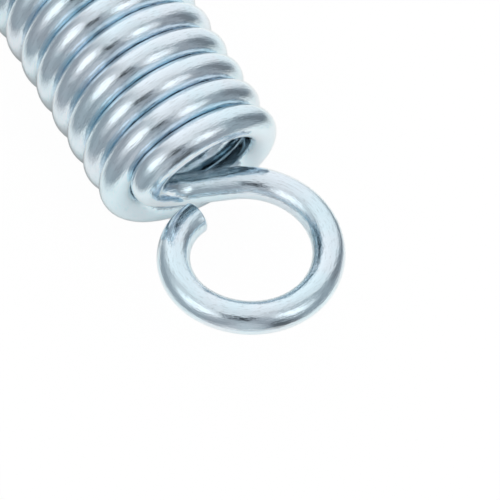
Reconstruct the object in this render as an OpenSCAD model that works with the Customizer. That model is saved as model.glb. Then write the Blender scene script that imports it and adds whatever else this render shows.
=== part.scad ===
/* [Wire] */
// Diameter of the round wire
wire_d = 4; // [3:0.5:4.5]

/* [Body] */
// Outer diameter of the coiled body
body_od = 23; // [22:0.5:26]
// Whole turns between the two loops
turns = 18; // [6:1:24]
// Daylight between two neighbouring turns at rest
turn_gap = 0.04; // [0.04:0.01:0.2]

/* [Loops] */
// Where the wire leaves the last turn, in degrees above the side of the body
leave_angle = 59.5; // [54:0.5:64]
// Inside radius of the bend where the wire turns in from the last turn
bend_inner = 2; // [1:0.1:3]
// How steeply the wire dives from the bend towards the body's axis, in degrees
dive_angle = 49.6; // [42:0.2:56]
// How far the dive turns back into the body, in degrees
dive_back = 4.7; // [0:0.1:7]
// Length of the straight wire in the dive
dive_length = 1; // [0.5:0.1:2]
// Radius to the wire's middle where the dive levels out
level_r = 5.5; // [4.5:0.1:7]
// Length of the straight wire that crosses the end of the body
crossing_length = 5.1; // [4:0.1:7]
// How far the crossing leans away from the body, in degrees
crossing_lean = 18.5; // [15:0.5:24]
// Outer diameter of each loop
loop_od = 23.5; // [20:0.1:26]
// How much of a circle the wide part of each loop makes, in degrees
loop_sweep = 225; // [200:1:240]
// Radius of the last stretch, as a share of the loop's radius
tail_part = 0.8; // [0.78:0.01:0.86]
// Daylight between the cut end and the wire that it closes on
tail_gap = 0.3; // [0.1:0.1:4]
// How far each loop points up from the body's axis, in degrees
loop_pitch = 6.2; // [0:0.1:9]
// How far each loop rolls down on its closed side, in degrees
loop_roll = 8.6; // [0:0.1:11]

/* [Hidden] */
wire_r = wire_d / 2;
coil_r = (body_od - wire_d) / 2;
loop_r = (loop_od - wire_d) / 2;
// Turns are spaced square to the wire, so the pitch grows a little with the slope
turn_space = wire_d + turn_gap;
pitch = turn_space / sqrt(1 - pow(turn_space / (2 * PI * coil_r), 2));
slope = pitch / (2 * PI * coil_r);

// The helix runs equally far either side of the middle of the body
half_wind = 90 - leave_angle + 180 * turns;
bows = round(half_wind / 90);
bow_half = half_wind / bows;
bow_rise = pitch * bow_half / 360;
middle_turn = turns % 2 == 0 ? 0 : 180;

// Each bow is two arcs that meet at its crown, smooth with the true helix at both ends
crown_shift = bow_rise * slope / sin(bow_half);
crown_sq = crown_shift * (crown_shift + 2 * coil_r * cos(bow_half)) + coil_r * coil_r;
crown_r = sqrt(crown_sq + bow_rise * bow_rise) - crown_shift;

// Arcs stop just short of each other inside a ball a few microns larger than the wire
seam = 0.02;
ball_r = wire_r + 0.005;
lift = body_od / 2 + 0.005;

// The loop's plane
forward = [cos(loop_pitch), 0, sin(loop_pitch)];
aside = unit(square_to([0, cos(loop_roll), -sin(loop_roll)], forward));
crossing = cos(crossing_lean) * aside + sin(crossing_lean) * forward;
to_centre = cos(crossing_lean) * forward - sin(crossing_lean) * aside;

// The wire from the last turn to the loop: a bend in, a short dive, a bend level, the crossing
leave_turn = 180 - leave_angle;
leave_at = [pitch * half_wind / 360, coil_r * cos(leave_turn), coil_r * sin(leave_turn)];
leave_heading = unit([slope, -sin(leave_turn), cos(leave_turn)]);
dive = [-cos(dive_angle) * sin(dive_back), cos(dive_angle) * cos(dive_back), -sin(dive_angle)];
bend_angle = acos(leave_heading * dive);
bend_r = wire_r + bend_inner;
bend_end = leave_at + bend_r * tan(bend_angle / 2) * (leave_heading + dive);
dive_end = bend_end + dive_length * dive;
level_angle = acos(dive * crossing);
level_end = dive_end + level_r * tan(level_angle / 2) * (dive + crossing);
loop_start = level_end + crossing_length * crossing;
loop_centre = loop_start + loop_r * to_centre;
tail_in = cos(loop_sweep) * to_centre - sin(loop_sweep) * crossing;
tail_heading = cos(loop_sweep) * crossing + sin(loop_sweep) * to_centre;
tail_start = loop_centre - loop_r * tail_in;
tail_r = tail_part * loop_r;

// The last stretch turns until its cut end is the daylight away from the crossing
tail_rise = loop_r - (loop_r - tail_r) * cos(loop_sweep) - wire_d - tail_gap;
tail_sweep = 360 - acos(min(1, tail_rise / tail_r)) - loop_sweep;

$fn = 48;

function unit(v) = v / norm(v);

function square_to(v, axis) = v - (v * axis) * axis;

// Wire bent to one radius, from a start point and heading towards a bend centre
module wire_arc(start, heading, inward, radius, angle) {
  centre = start + radius * inward;
  normal = cross(-inward, heading);
  trim = seam / radius * 180 / PI;
  multmatrix([
    [-inward[0], heading[0], normal[0], centre[0]],
    [-inward[1], heading[1], normal[1], centre[1]],
    [-inward[2], heading[2], normal[2], centre[2]],
    [0, 0, 0, 1]
  ])
    rotate([0, 0, trim])
      rotate_extrude(angle = angle - 2 * trim)
        translate([radius, 0])
          circle(r = wire_r);
}

// Straight wire between two points
module wire_line(start, finish) {
  run = finish - start;
  translate(start)
    rotate([0, acos(run[2] / norm(run)), atan2(run[1], run[0])])
      translate([0, 0, seam])
        cylinder(r = wire_r, h = norm(run) - 2 * seam);
}

module joint(at) {
  translate(at)
    sphere(r = ball_r);
}

// First half of a bow, from the helix up to the crown on the vertical axis
module half_bow() {
  start = [-bow_rise, coil_r * sin(bow_half), coil_r * cos(bow_half)];
  heading = unit([slope, -cos(bow_half), sin(bow_half)]);
  chord = [0, 0, crown_r] - start;
  half_angle = acos(unit(chord) * heading);
  radius = norm(chord) / (2 * sin(half_angle));
  wire_arc(start, heading, unit(square_to(chord, heading)), radius, 2 * half_angle);
}

module bow(joined) {
  half_bow();
  rotate([0, 0, 180])
    half_bow();
  joint([0, 0, crown_r]);
  if (joined)
    joint([-bow_rise, coil_r * sin(bow_half), coil_r * cos(bow_half)]);
}

module body_coil() {
  for (i = [0 : bows - 1]) {
    place = i - (bows - 1) / 2;
    translate([place * 2 * bow_rise, 0, 0])
      rotate([place * 2 * bow_half + middle_turn, 0, 0])
        bow(i > 0);
  }
}

module end_loop() {
  joint(leave_at);
  wire_arc(leave_at, leave_heading, unit(square_to(dive, leave_heading)), bend_r, bend_angle);
  joint(bend_end);
  wire_line(bend_end, dive_end);
  joint(dive_end);
  wire_arc(dive_end, dive, unit(square_to(crossing, dive)), level_r, level_angle);
  joint(level_end);
  wire_line(level_end, loop_start);
  joint(loop_start);
  wire_arc(loop_start, crossing, to_centre, loop_r, loop_sweep);
  joint(tail_start);
  wire_arc(tail_start, tail_heading, tail_in, tail_r, tail_sweep);
}

module spring() {
  color([0.78, 0.83, 0.87])
    translate([0, 0, lift])
      union() {
        body_coil();
        end_loop();
        rotate([0, 0, 180])
          end_loop();
      }
}

spring();
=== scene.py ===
import math

import bpy
from mathutils import Matrix, Vector


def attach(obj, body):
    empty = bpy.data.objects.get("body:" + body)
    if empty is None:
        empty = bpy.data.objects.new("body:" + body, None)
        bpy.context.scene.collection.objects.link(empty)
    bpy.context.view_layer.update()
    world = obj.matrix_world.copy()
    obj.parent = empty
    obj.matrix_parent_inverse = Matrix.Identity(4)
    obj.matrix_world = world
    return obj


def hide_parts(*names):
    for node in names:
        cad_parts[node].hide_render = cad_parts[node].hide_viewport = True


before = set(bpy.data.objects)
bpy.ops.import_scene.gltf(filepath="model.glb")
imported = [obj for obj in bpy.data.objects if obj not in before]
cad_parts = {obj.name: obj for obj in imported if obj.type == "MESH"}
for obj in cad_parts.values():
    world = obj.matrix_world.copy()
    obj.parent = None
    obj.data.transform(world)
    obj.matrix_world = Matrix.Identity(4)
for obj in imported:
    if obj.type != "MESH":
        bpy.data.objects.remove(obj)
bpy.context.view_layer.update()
scene = bpy.context.scene
mm = 0.001
print("frame loaded")


# Where a tree's nodes lie in the editor.
nodeGrid = {"columns": 14, "across": 190, "down": 260}


# A Term is a node's output, and sums on it add their Math nodes.
class Term:
    def __init__(self, build, socket):
        self.build, self.socket = build, socket

    def sum(self, operation, first, second):
        return self.build.one(operation, first, second)

    def __add__(self, other):
        return self.sum("ADD", self, other)

    def __radd__(self, other):
        return self.sum("ADD", other, self)

    def __sub__(self, other):
        return self.sum("SUBTRACT", self, other)

    def __rsub__(self, other):
        return self.sum("SUBTRACT", other, self)

    def __mul__(self, other):
        return self.sum("MULTIPLY", self, other)

    def __rmul__(self, other):
        return self.sum("MULTIPLY", other, self)

    def __truediv__(self, other):
        return self.sum("DIVIDE", self, other)

    def __rtruediv__(self, other):
        return self.sum("DIVIDE", other, self)


class Build:
    def __init__(self, tree):
        self.tree = tree
        tree.nodes.clear()

    # The settings go in first, because some of them change the sockets.
    def node(self, kind, settings=None, sockets=None, out=0):
        made = self.tree.nodes.new(kind)
        row, column = divmod(len(self.tree.nodes), nodeGrid["columns"])
        made.location = (nodeGrid["across"] * column, -nodeGrid["down"] * row)
        for name, value in (settings or {}).items():
            if name == "capture":
                made.capture_items.new(value, "Value")
            else:
                setattr(made, name, value)
        for key, value in (sockets or {}).items():
            if isinstance(value, Term):
                self.tree.links.new(value.socket, made.inputs[key])
            elif value is not None:
                made.inputs[key].default_value = value
        return Term(self, made.outputs[out]) if made.outputs else made

    def more(self, term, out):
        return Term(self, term.socket.node.outputs[out])

    def one(self, operation, value, other=None):
        return self.node("ShaderNodeMath", {"operation": operation},
                         {0: value, 1: other})

    def vector(self, operation, first, second=None):
        return self.node("ShaderNodeVectorMath", {"operation": operation},
                         {0: first, 1: second})

    def dot(self, first, second):
        return self.more(self.vector("DOT_PRODUCT", first, second), "Value")

    def scaled(self, vector, factor):
        return self.node("ShaderNodeVectorMath", {"operation": "SCALE"},
                         {0: vector, "Scale": factor})

    def point(self, x, y, z):
        return self.node("ShaderNodeCombineXYZ", None, {0: x, 1: y, 2: z})

    def axes(self, vector):
        parts = self.node("ShaderNodeSeparateXYZ", None, {0: vector})
        return parts, self.more(parts, 1), self.more(parts, 2)

    # 0 at low, 1 at high and smooth between, whichever of the two is the greater.
    def step(self, value, low, high):
        return self.node("ShaderNodeMapRange", {"interpolation_type": "SMOOTHSTEP"},
                         {"Value": value, "From Min": low, "From Max": high})

    def blend(self, factor, first, second):
        return self.node("ShaderNodeMix", {"data_type": "RGBA"},
                         {"Factor": factor, 6: first, 7: second}, out=2)

    def noise(self, vector, detail, rough=0.5):
        return self.node("ShaderNodeTexNoise", None, {
            "Vector": vector, "Scale": 1.0, "Detail": detail, "Roughness": rough})


def unit(vector):
    return vector.normalized()


def squareTo(vector, axis):
    return unit(vector - vector.dot(axis) * axis)


# The camera looks down steeply from the loop's end, as in the photograph.
view = {
    "place": (155.067, -60.720, 281.689),          # mm
    "right": (0.49879, 0.86672, 0.0),
    "up": (-0.78886, 0.45398, 0.41422),
    "roll": 0.16,                                  # degrees
    "focal": 2482.71 / 500,                        # in widths of the picture
    "sensor": 36,                                  # mm
    "nearest": 0.01,                               # m
    "furthest": 50,
}


def makeCamera():
    data = bpy.data.cameras.new("camera")
    data.sensor_width = view["sensor"]
    data.lens = view["focal"] * view["sensor"]
    data.clip_start, data.clip_end = view["nearest"], view["furthest"]
    camera = bpy.data.objects.new("camera", data)
    scene.collection.objects.link(camera)
    right, up = Vector(view["right"]), Vector(view["up"])
    back = unit(right.cross(up))
    turn = Matrix.Rotation(math.radians(view["roll"]), 3, back)
    right, up = turn @ unit(right), turn @ unit(back.cross(right))
    axes = Matrix((right, up, back)).transposed()
    camera.matrix_world = Matrix.Translation(Vector(view["place"]) * mm) @ axes.to_4x4()
    scene.camera = camera


makeCamera()
print("camera placed")


# The wire is one length, coiled, with a crossed-over loop at each end.
# Lengths are in mm and angles in degrees.
spring = {
    "wire": 4.0,
    "outside": 23.0,
    "turns": 18,                   # an even number
    "daylight": 0.04,
    "leaves at": 59.5,
    "bend inside": 2.0,
    "dives at": 49.6,
    "dives back": 4.7,
    "dive": 1.0,
    "level radius": 5.5,
    "crossing": 5.1,
    "crossing leans": 18.5,
    "loop outside": 23.5,
    "loop sweep": 225.0,
    "tail share": 0.8,             # of the loop's radius
    "tail daylight": 0.3,
    "loop pitch": 6.2,
    "loop roll": 8.6,
    "clear of floor": 0.005,
    "sides": 36,                   # faces round the wire
    "steps": {"Body": 843, "Bend": 28, "Dive": 3, "Level": 18,
              "Crossing": 6, "Loop": 96, "Tail": 40},
    "edge": 0.22,                  # rounding of the cut ends
    "edge steps": 3,
    "edge angle": 50,              # rounded where two faces meet more sharply than this
    "inside": 0.02,                # thinner by this, to stay within the solid's box
}


# The path that the solid follows: the helix, then the parts of the end at +X in turn.
def wirePath():
    deg = math.radians
    wireR = spring["wire"] / 2
    coilR = spring["outside"] / 2 - wireR
    loopR = spring["loop outside"] / 2 - wireR
    spacing = spring["wire"] + spring["daylight"]
    pitch = spacing / math.sqrt(1 - (spacing / (2 * math.pi * coilR)) ** 2)
    slope = pitch / (2 * math.pi * coilR)
    halfWind = deg(90 - spring["leaves at"] + 180 * spring["turns"])
    lift = Vector((0, 0, spring["outside"] / 2 + spring["clear of floor"]))
    tilt, roll = deg(spring["loop pitch"]), deg(spring["loop roll"])
    lean = deg(spring["crossing leans"])
    forward = Vector((math.cos(tilt), 0, math.sin(tilt)))
    aside = squareTo(Vector((0, math.cos(roll), -math.sin(roll))), forward)
    crossing = math.cos(lean) * aside + math.sin(lean) * forward
    toCentre = math.cos(lean) * forward - math.sin(lean) * aside
    leaves = deg(180 - spring["leaves at"])
    drop, back = deg(spring["dives at"]), deg(spring["dives back"])
    end = pitch * halfWind / (2 * math.pi)
    at = Vector((end, coilR * math.cos(leaves), coilR * math.sin(leaves))) + lift
    heading = unit(Vector((slope, -math.sin(leaves), math.cos(leaves))))
    level = Vector((-math.sin(back), math.cos(back), 0))
    dive = math.cos(drop) * level - Vector((0, 0, math.sin(drop)))
    made = {}

    def arc(name, start, ahead, inward, radius, angle):
        made[name + " Centre"] = (start + radius * inward) * mm
        made[name + " Start"] = -radius * inward * mm
        made[name + " Heading"] = radius * ahead * mm
        made[name + " Sweep"] = angle

    def corner(name, start, ahead, then, radius):
        angle = ahead.angle(then)
        arc(name, start, ahead, squareTo(then, ahead), radius, angle)
        return start + radius * math.tan(angle / 2) * (ahead + then)

    def line(name, start, run):
        made[name + " Start"], made[name + " Run"] = start * mm, run * mm
        return start + run

    at = corner("Bend", at, heading, dive, wireR + spring["bend inside"])
    at = line("Dive", at, spring["dive"] * dive)
    at = corner("Level", at, dive, crossing, spring["level radius"])
    at = line("Crossing", at, spring["crossing"] * crossing)
    sweep = deg(spring["loop sweep"])
    arc("Loop", at, crossing, toCentre, loopR, sweep)
    tailR = spring["tail share"] * loopR
    rise = (loopR - (loopR - tailR) * math.cos(sweep)
            - spring["wire"] - spring["tail daylight"])
    tailIn = math.cos(sweep) * toCentre - math.sin(sweep) * crossing
    tailHeading = math.cos(sweep) * crossing + math.sin(sweep) * toCentre
    at = at + loopR * toCentre - loopR * tailIn
    arc("Tail", at, tailHeading, tailIn, tailR, 2 * math.pi - math.acos(rise / tailR) - sweep)
    return {
        "Wire Diameter": (spring["wire"] - spring["inside"]) * mm,
        "Coil Radius": coilR * mm,
        "Pitch": pitch * mm,
        "Half Wind": halfWind,
        "Axis Height": lift.z * mm,
        "Sides": spring["sides"],
        **made,
        **{name + " Steps": count for name, count in spring["steps"].items()},
    }


# The tree lays a line of points along the rule, by their number from the middle of the body,
# and sweeps the round wire along it. The far end is the near end turned half round.
def wireTree(values, finish):
    tree = bpy.data.node_groups.new("woundWire", "GeometryNodeTree")
    b = Build(tree)
    tree.interface.new_socket("Geometry", in_out="OUTPUT", socket_type="NodeSocketGeometry")
    sorts = {float: "NodeSocketFloat", int: "NodeSocketInt", Vector: "NodeSocketVector"}
    names = {}
    for name, value in {**values, "Finish": finish}.items():
        sort = sorts.get(type(value), "NodeSocketMaterial")
        socket = tree.interface.new_socket(name, in_out="INPUT", socket_type=sort)
        names[name] = socket.identifier
    entry = b.node("NodeGroupInput")
    size = {name: b.more(entry, name) for name in names}

    parts = list(spring["steps"])
    half = sum(size[part + " Steps"] for part in parts)
    number = b.node("GeometryNodeInputIndex") - half
    count, side = b.one("ABSOLUTE", number), b.one("SIGN", number)

    angle = count * (size["Half Wind"] / size["Body Steps"])
    place = b.point(angle * size["Pitch"] / (2 * math.pi),
                    b.one("SINE", angle) * size["Coil Radius"] * -1,
                    b.one("COSINE", angle) * size["Coil Radius"] + size["Axis Height"])
    begun = size["Body Steps"]
    for part in parts[1:]:
        share = (count - begun) / size[part + " Steps"]
        if part in ("Dive", "Crossing"):
            there = b.vector("ADD", size[part + " Start"],
                             b.scaled(size[part + " Run"], share))
        else:
            turned = share * size[part + " Sweep"]
            out = b.scaled(size[part + " Start"], b.one("COSINE", turned))
            ahead = b.scaled(size[part + " Heading"], b.one("SINE", turned))
            there = b.vector("ADD", size[part + " Centre"], b.vector("ADD", out, ahead))
        past = b.one("GREATER_THAN", count, begun)
        place = b.node("GeometryNodeSwitch", {"input_type": "VECTOR"},
                       {"Switch": past, "False": place, "True": there})
        begun = begun + size[part + " Steps"]
    place = b.vector("MULTIPLY", place, b.point(side, side, 1.0))

    line = b.node("GeometryNodeCurvePrimitiveLine")
    line = b.node("GeometryNodeResampleCurve", {"mode": "COUNT"},
                  {"Curve": line, "Count": half * 2 + 1})
    line = b.node("GeometryNodeSetPosition", None, {"Geometry": line, "Position": place})
    length = b.more(b.node("GeometryNodeSplineParameter"), "Length")
    line = b.node("GeometryNodeCaptureAttribute", {"capture": "FLOAT"},
                  {"Geometry": line, 1: length})
    ring = b.node("GeometryNodeCurvePrimitiveCircle", {"mode": "RADIUS"},
                  {"Resolution": size["Sides"], "Radius": size["Wire Diameter"] / 2})
    ring = b.node("GeometryNodeCaptureAttribute", {"capture": "VECTOR"},
                  {"Geometry": ring, 1: b.node("GeometryNodeInputPosition")})
    # Where each point is in the straight wire that it was wound from, in mm.
    across, over, _ = b.axes(b.scaled(b.more(ring, 1), 1 / mm))
    straight = b.point(b.more(line, 1) / mm, across, over)
    tube = b.node("GeometryNodeCurveToMesh", None,
                  {"Curve": line, "Profile Curve": ring, "Fill Caps": True})
    tube = b.node("GeometryNodeStoreNamedAttribute",
                  {"data_type": "FLOAT_VECTOR", "domain": "POINT"},
                  {"Geometry": tube, "Name": "straightWire", "Value": straight})
    tube = b.node("GeometryNodeRealizeInstances", None, {"Geometry": tube})
    tube = b.node("GeometryNodeSetMaterial", None,
                  {"Geometry": tube, "Material": size["Finish"]})
    b.node("NodeGroupOutput", None, {"Geometry": tube})
    return tree, names


# Bright zinc over drawn wire. A grain is per mm, first along the wire and then across it.
zinc = {
    "colour": (0.735, 0.855, 0.93, 1),
    "cooler": (0.665, 0.85, 0.93, 1),
    "greyer": (0.77, 0.82, 0.89, 1),
    "patches": 160.0,              # per m
    "patch edges": (0.35, 0.65),
    "patch share": 0.5,
    "rough": 0.085,
    "waves": 0.060,                # mm, slow waves that bend a reflection's edge
    "wave grain": (0.35, 0.9, 0.9),
    "drawn": 0.036,                # mm, short lines that run with the wire and tear it
    "drawn grain": (0.9, 4.5, 4.5),
    "drawn rough": 0.12,
    "deep lines": (0.52, 0.70),
    "dull": 0.12,                  # how much darker the deepest lines are
    "spot grain": (1.6, 2.6, 2.6),
    "spot edges": (0.70, 0.76),
    "spot depth": 0.002,           # mm
    "spot dull": 0.15,
    "spot rough": 0.15,
}


def zincPlate():
    material = bpy.data.materials.new("brightZinc")
    material.use_nodes = True
    b = Build(material.node_tree)
    straight = b.node("ShaderNodeAttribute", {"attribute_name": "straightWire"}, out="Vector")

    def grain(name, detail, rough=0.5):
        return b.noise(b.vector("MULTIPLY", straight, zinc[name]), detail, rough)

    placed = b.node("ShaderNodeTexCoord", out="Object")
    patches = b.noise(b.scaled(placed, zinc["patches"]), 3.0)
    waves = grain("wave grain", 2.0)
    drawn = grain("drawn grain", 3.0, 0.6)
    spots = b.step(grain("spot grain", 2.0), *zinc["spot edges"])
    deep = b.step(drawn, *zinc["deep lines"])
    colour = b.blend(b.step(patches, *zinc["patch edges"]), zinc["cooler"], zinc["greyer"])
    colour = b.blend(zinc["patch share"], zinc["colour"], colour)
    colour = b.scaled(colour, 1 - deep * zinc["dull"] - spots * zinc["spot dull"])
    height = ((waves - 0.5) * zinc["waves"] + (drawn - 0.5) * zinc["drawn"]
              - spots * zinc["spot depth"])
    bump = b.node("ShaderNodeBump", None, {
        "Height": height * mm, "Distance": 1.0, "Strength": 1.0})
    rough = zinc["rough"] + (drawn - 0.5) * zinc["drawn rough"] + spots * zinc["spot rough"]
    shader = b.node("ShaderNodeBsdfPrincipled", None, {
        "Base Color": colour, "Metallic": 1.0, "Roughness": rough, "Normal": bump})
    b.node("ShaderNodeOutputMaterial", None, {"Surface": shader})
    return material


# The map for baking the finish: the wire laid straight and cut in rows, with its ends beyond.
baking = {
    "rows": 10,
    "gap": 0.35,                   # mm between rows
    "pad": 2.5,                    # mm past both ends of a row
    "corner": 6,                   # an end face has more corners than this
    "end": 0.5,                    # mm of wire that belong to an end
    "facing": 0.12,                # how squarely a face looks out to belong to it
    "fill": 0.99,                  # of the map's width
    "margin": 0.005,
}


def layOut(mesh):
    straight = [item.vector[:] for item in mesh.attributes["straightWire"].data]
    total = max(place[0] for place in straight)
    girth = math.pi * spring["wire"]
    rows, gap = baking["rows"], baking["gap"]
    run = total / rows
    tall = rows * (girth + gap) + spring["wire"] + 2 * gap
    scale, margin = baking["fill"] / max(run + 2 * baking["pad"], tall), baking["margin"]
    turned = [(math.atan2(place[2], place[1]) / (2 * math.pi)) % 1 for place in straight]
    caps = [face for face in mesh.polygons if len(face.vertices) > baking["corner"]]
    caps = [(Vector(face.center), Vector(face.normal)) for face in caps]
    places = mesh.uv_layers.new(name="OFBake").data
    for face in mesh.polygons:
        own = [mesh.loops[loop].vertex_index for loop in face.loop_indices]
        along = sum(straight[one][0] for one in own) / len(own)
        ends = [number for number, (middle, out) in enumerate(caps)
                if (face.center - middle).length < spring["wire"] * mm
                and face.normal.dot(out) > baking["facing"]]
        if ends and min(along, total - along) < baking["end"]:
            middle, out = caps[ends[0]]
            across = unit(out.orthogonal())
            over = out.cross(across)
            shift = (ends[0] + 0.5) * (spring["wire"] + 2 * gap)
            for loop in face.loop_indices:
                place = mesh.vertices[mesh.loops[loop].vertex_index].co - middle
                x = place.dot(across) / mm + shift
                y = place.dot(over) / mm + tall - spring["wire"] / 2 - gap
                places[loop].uv = (x * scale + margin, y * scale + margin)
            continue
        row = min(rows - 1, int(along / run))
        first = turned[own[0]]
        near = [first + (turned[one] - first + 0.5) % 1 - 0.5 for one in own]
        lift = -math.floor(sum(near) / len(near))
        for loop, one, share in zip(face.loop_indices, own, near):
            x = straight[one][0] - row * run + baking["pad"]
            y = (share + lift) * girth + row * (girth + gap) + gap / 2
            places[loop].uv = (x * scale + margin, y * scale + margin)


def makeSpring():
    values = wirePath()
    finish = zincPlate()
    tree, names = wireTree(values, finish)
    mesh = bpy.data.meshes.new("spring")
    piece = bpy.data.objects.new("springWire", mesh)
    scene.collection.objects.link(piece)
    winding = piece.modifiers.new("winding", "NODES")
    winding.node_group = tree
    for name, value in {**values, "Finish": finish}.items():
        winding[names[name]] = value
    edge = piece.modifiers.new("edge", "BEVEL")
    edge.width = spring["edge"] * mm
    edge.segments = spring["edge steps"]
    edge.limit_method = "ANGLE"
    edge.angle_limit = math.radians(spring["edge angle"])
    depsgraph = bpy.context.evaluated_depsgraph_get()
    wound = piece.evaluated_get(depsgraph)
    plain = bpy.data.meshes.new_from_object(wound, depsgraph=depsgraph)
    piece.modifiers.clear()
    piece.data = plain
    for face in plain.polygons:
        face.use_smooth = len(face.vertices) < baking["corner"]
    layOut(plain)
    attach(piece, "root")
    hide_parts("spring")
    print("spring wound:", len(plain.polygons), "faces")


makeSpring()


# The studio is a grey room with a pale sweep, soft glows and soft shades, and a white floor.
# Directions are in degrees: the azimuth, and the angle from straight up.
studio = {
    "dim tint": (0.92, 0.985, 1.06, 1),
    "bright tint": (1.0, 1.0, 1.0, 1),
    "tint levels": (0.25, 0.85),
    "room": 0.395,
    "sweep": 0.82,
    "sweep gain": 0.29,            # brighter towards -X
    "sweep edges": (0.43, 0.09, -0.50, -0.09),
    "edge shifts": (0.42, 0.04),   # of the edges, down at the horizon
    # azimuth, angle from up, half width, half height (1 is a radian), softness, light added
    "glows": [
        (271, 50, 0.32, 0.27, 0.55, 0.52),
        (272, 48, 0.35, 0.40, 0.95, 0.36),
        (22, 40, 0.19, 0.43, 0.68, 0.27),
        (35, 54, 0.20, 0.26, 0.90, 0.68),
        (222, 54, 0.32, 0.33, 0.45, 0.17),
        (334, 82, 0.18, 0.32, 0.95, 0.22),
        (86, 54, 0.32, 0.25, 0.95, 0.08),
    ],
    # the same, with the share of the light that is left
    "shades": [
        (330, 33, 0.19, 0.14, 0.60, 0.10),
        (3, 85, 0.13, 0.16, 0.87, 0.32),
        (77, 97, 0.14, 0.38, 0.95, 0.60),
    ],
    "floor size": 30,              # m
    "floor half": 0.050,           # m, half the length of the line that "floor near" is from
    "floor near": (0.018, 0.045),  # m, where reflections stop seeing the paper
    "floor glow": 0.06,
    "paper": 0.86,
    "bright paper": (1.34, 1.30, 1.24),   # as reflections see it
    "body half": 0.020,            # m, half the length of the line that "body shade" is from
    "body shade": (0.021, 0.0125),   # m, where the body's painted shade on the floor ends and is full
    "shade": 0.46,
    "horizon from": 0.03,          # m, the x from which the floor runs out to the horizon
    "horizon height": 0.0005,
    "camera white": 0.95,          # how much of the floor is plain white to the camera
    "camera light": 1.02,
}


def direction(azimuth, fromTop):
    a, t = math.radians(azimuth), math.radians(fromTop)
    return Vector((math.sin(t) * math.cos(a), math.sin(t) * math.sin(a), math.cos(t)))


# How bright the studio is in a direction, as a colour.
def studioLight(b, way):
    x, y, z = b.axes(way)
    low = 1 - b.one("MAXIMUM", z, 0.0)
    right, left, out, into = studio["sweep edges"]
    shiftX, shiftY = studio["edge shifts"]
    white = b.step(x + low * shiftX, right, left) * b.step(y - low * shiftY, out, into)
    room = studio["room"]
    level = room + white * (studio["sweep"] - room - x * studio["sweep gain"])

    def patch(azimuth, fromTop, wide, tall, soft):
        middle = direction(azimuth, fromTop)
        across = unit(Vector((0, 0, 1)).cross(middle))
        over = middle.cross(across)
        a, c = b.dot(way, across) / wide, b.dot(way, over) / tall
        inside = b.step(a * a + c * c, (1 + soft) ** 2, (1 - soft) ** 2)
        return inside * b.one("GREATER_THAN", b.dot(way, middle), 0.0)

    for *shape, added in studio["glows"]:
        level = level + patch(*shape) * added
    for *shape, left in studio["shades"]:
        level = level * (1 - patch(*shape) * (1 - left))
    bright = b.step(level, *studio["tint levels"])
    return b.scaled(b.blend(bright, studio["dim tint"], studio["bright tint"]), level)


def surroundings():
    world = bpy.data.worlds.new("studio")
    scene.world = world
    world.use_nodes = True
    b = Build(world.node_tree)
    colour = studioLight(b, b.node("ShaderNodeTexCoord", out="Generated"))
    lit = b.node("ShaderNodeBackground", None, {"Color": colour, "Strength": 1.0})
    shown = b.node("ShaderNodeBackground", None, {"Color": (1, 1, 1, 1), "Strength": 1.0})
    camera = b.node("ShaderNodeLightPath", out="Is Camera Ray")
    both = b.node("ShaderNodeMixShader", None, {0: camera, 1: lit, 2: shown})
    b.node("ShaderNodeOutputWorld", None, {"Surface": both})


# Reflections see lit paper near the spring, with a painted shade beside the body, and the
# studio's horizon further out.
def makeFloor():
    bpy.ops.mesh.primitive_plane_add(size=studio["floor size"])
    floor = bpy.context.object
    floor.name = "floor"
    material = bpy.data.materials.new("floorPaper")
    material.use_nodes = True
    b = Build(material.node_tree)
    x, y, _ = b.axes(b.node("ShaderNodeTexCoord", out="Object"))

    def fromLine(half):
        past = b.one("MAXIMUM", b.one("ABSOLUTE", x) - half, 0.0)
        return b.one("SQRT", past * past + y * y)

    far = b.step(fromLine(studio["floor half"]), *studio["floor near"])
    # Painted shade: the paper that reflections see is darker beside the body, standing in for
    # the body's shadow on the floor.
    shaded = b.step(fromLine(studio["body half"]), *studio["body shade"])
    lit = 1 - shaded * studio["shade"]
    out = b.point(x - studio["horizon from"], y, studio["horizon height"])
    outward = b.vector("NORMALIZE", out)
    share = studio["paper"]
    paper = b.node("ShaderNodeBsdfDiffuse", None, {"Color": (share, share, share, 1)})
    bright = b.node("ShaderNodeBsdfDiffuse", None, {
        "Color": b.scaled(studio["bright paper"], lit)})
    glow = b.node("ShaderNodeEmission", None, {
        "Color": (1, 1, 1, 1), "Strength": lit * studio["floor glow"]})
    near = b.node("ShaderNodeAddShader", None, {0: bright, 1: glow})
    horizon = b.node("ShaderNodeEmission", None, {
        "Color": studioLight(b, outward), "Strength": 1.0})
    seen = b.node("ShaderNodeMixShader", None, {0: far, 1: near, 2: horizon})
    white = b.node("ShaderNodeEmission", None, {
        "Color": (1, 1, 1, 1), "Strength": studio["camera light"]})
    camera = b.node("ShaderNodeLightPath", out="Is Camera Ray")
    glossy = b.more(camera, "Is Glossy Ray")
    mixed = b.node("ShaderNodeMixShader", None, {
        0: camera * studio["camera white"], 1: paper, 2: white})
    mixed = b.node("ShaderNodeMixShader", None, {0: glossy, 1: mixed, 2: seen})
    b.node("ShaderNodeOutputMaterial", None, {"Surface": mixed})
    floor.data.materials.append(material)


surroundings()
makeFloor()
scene.view_settings.view_transform = "Standard"
print("studio lit")
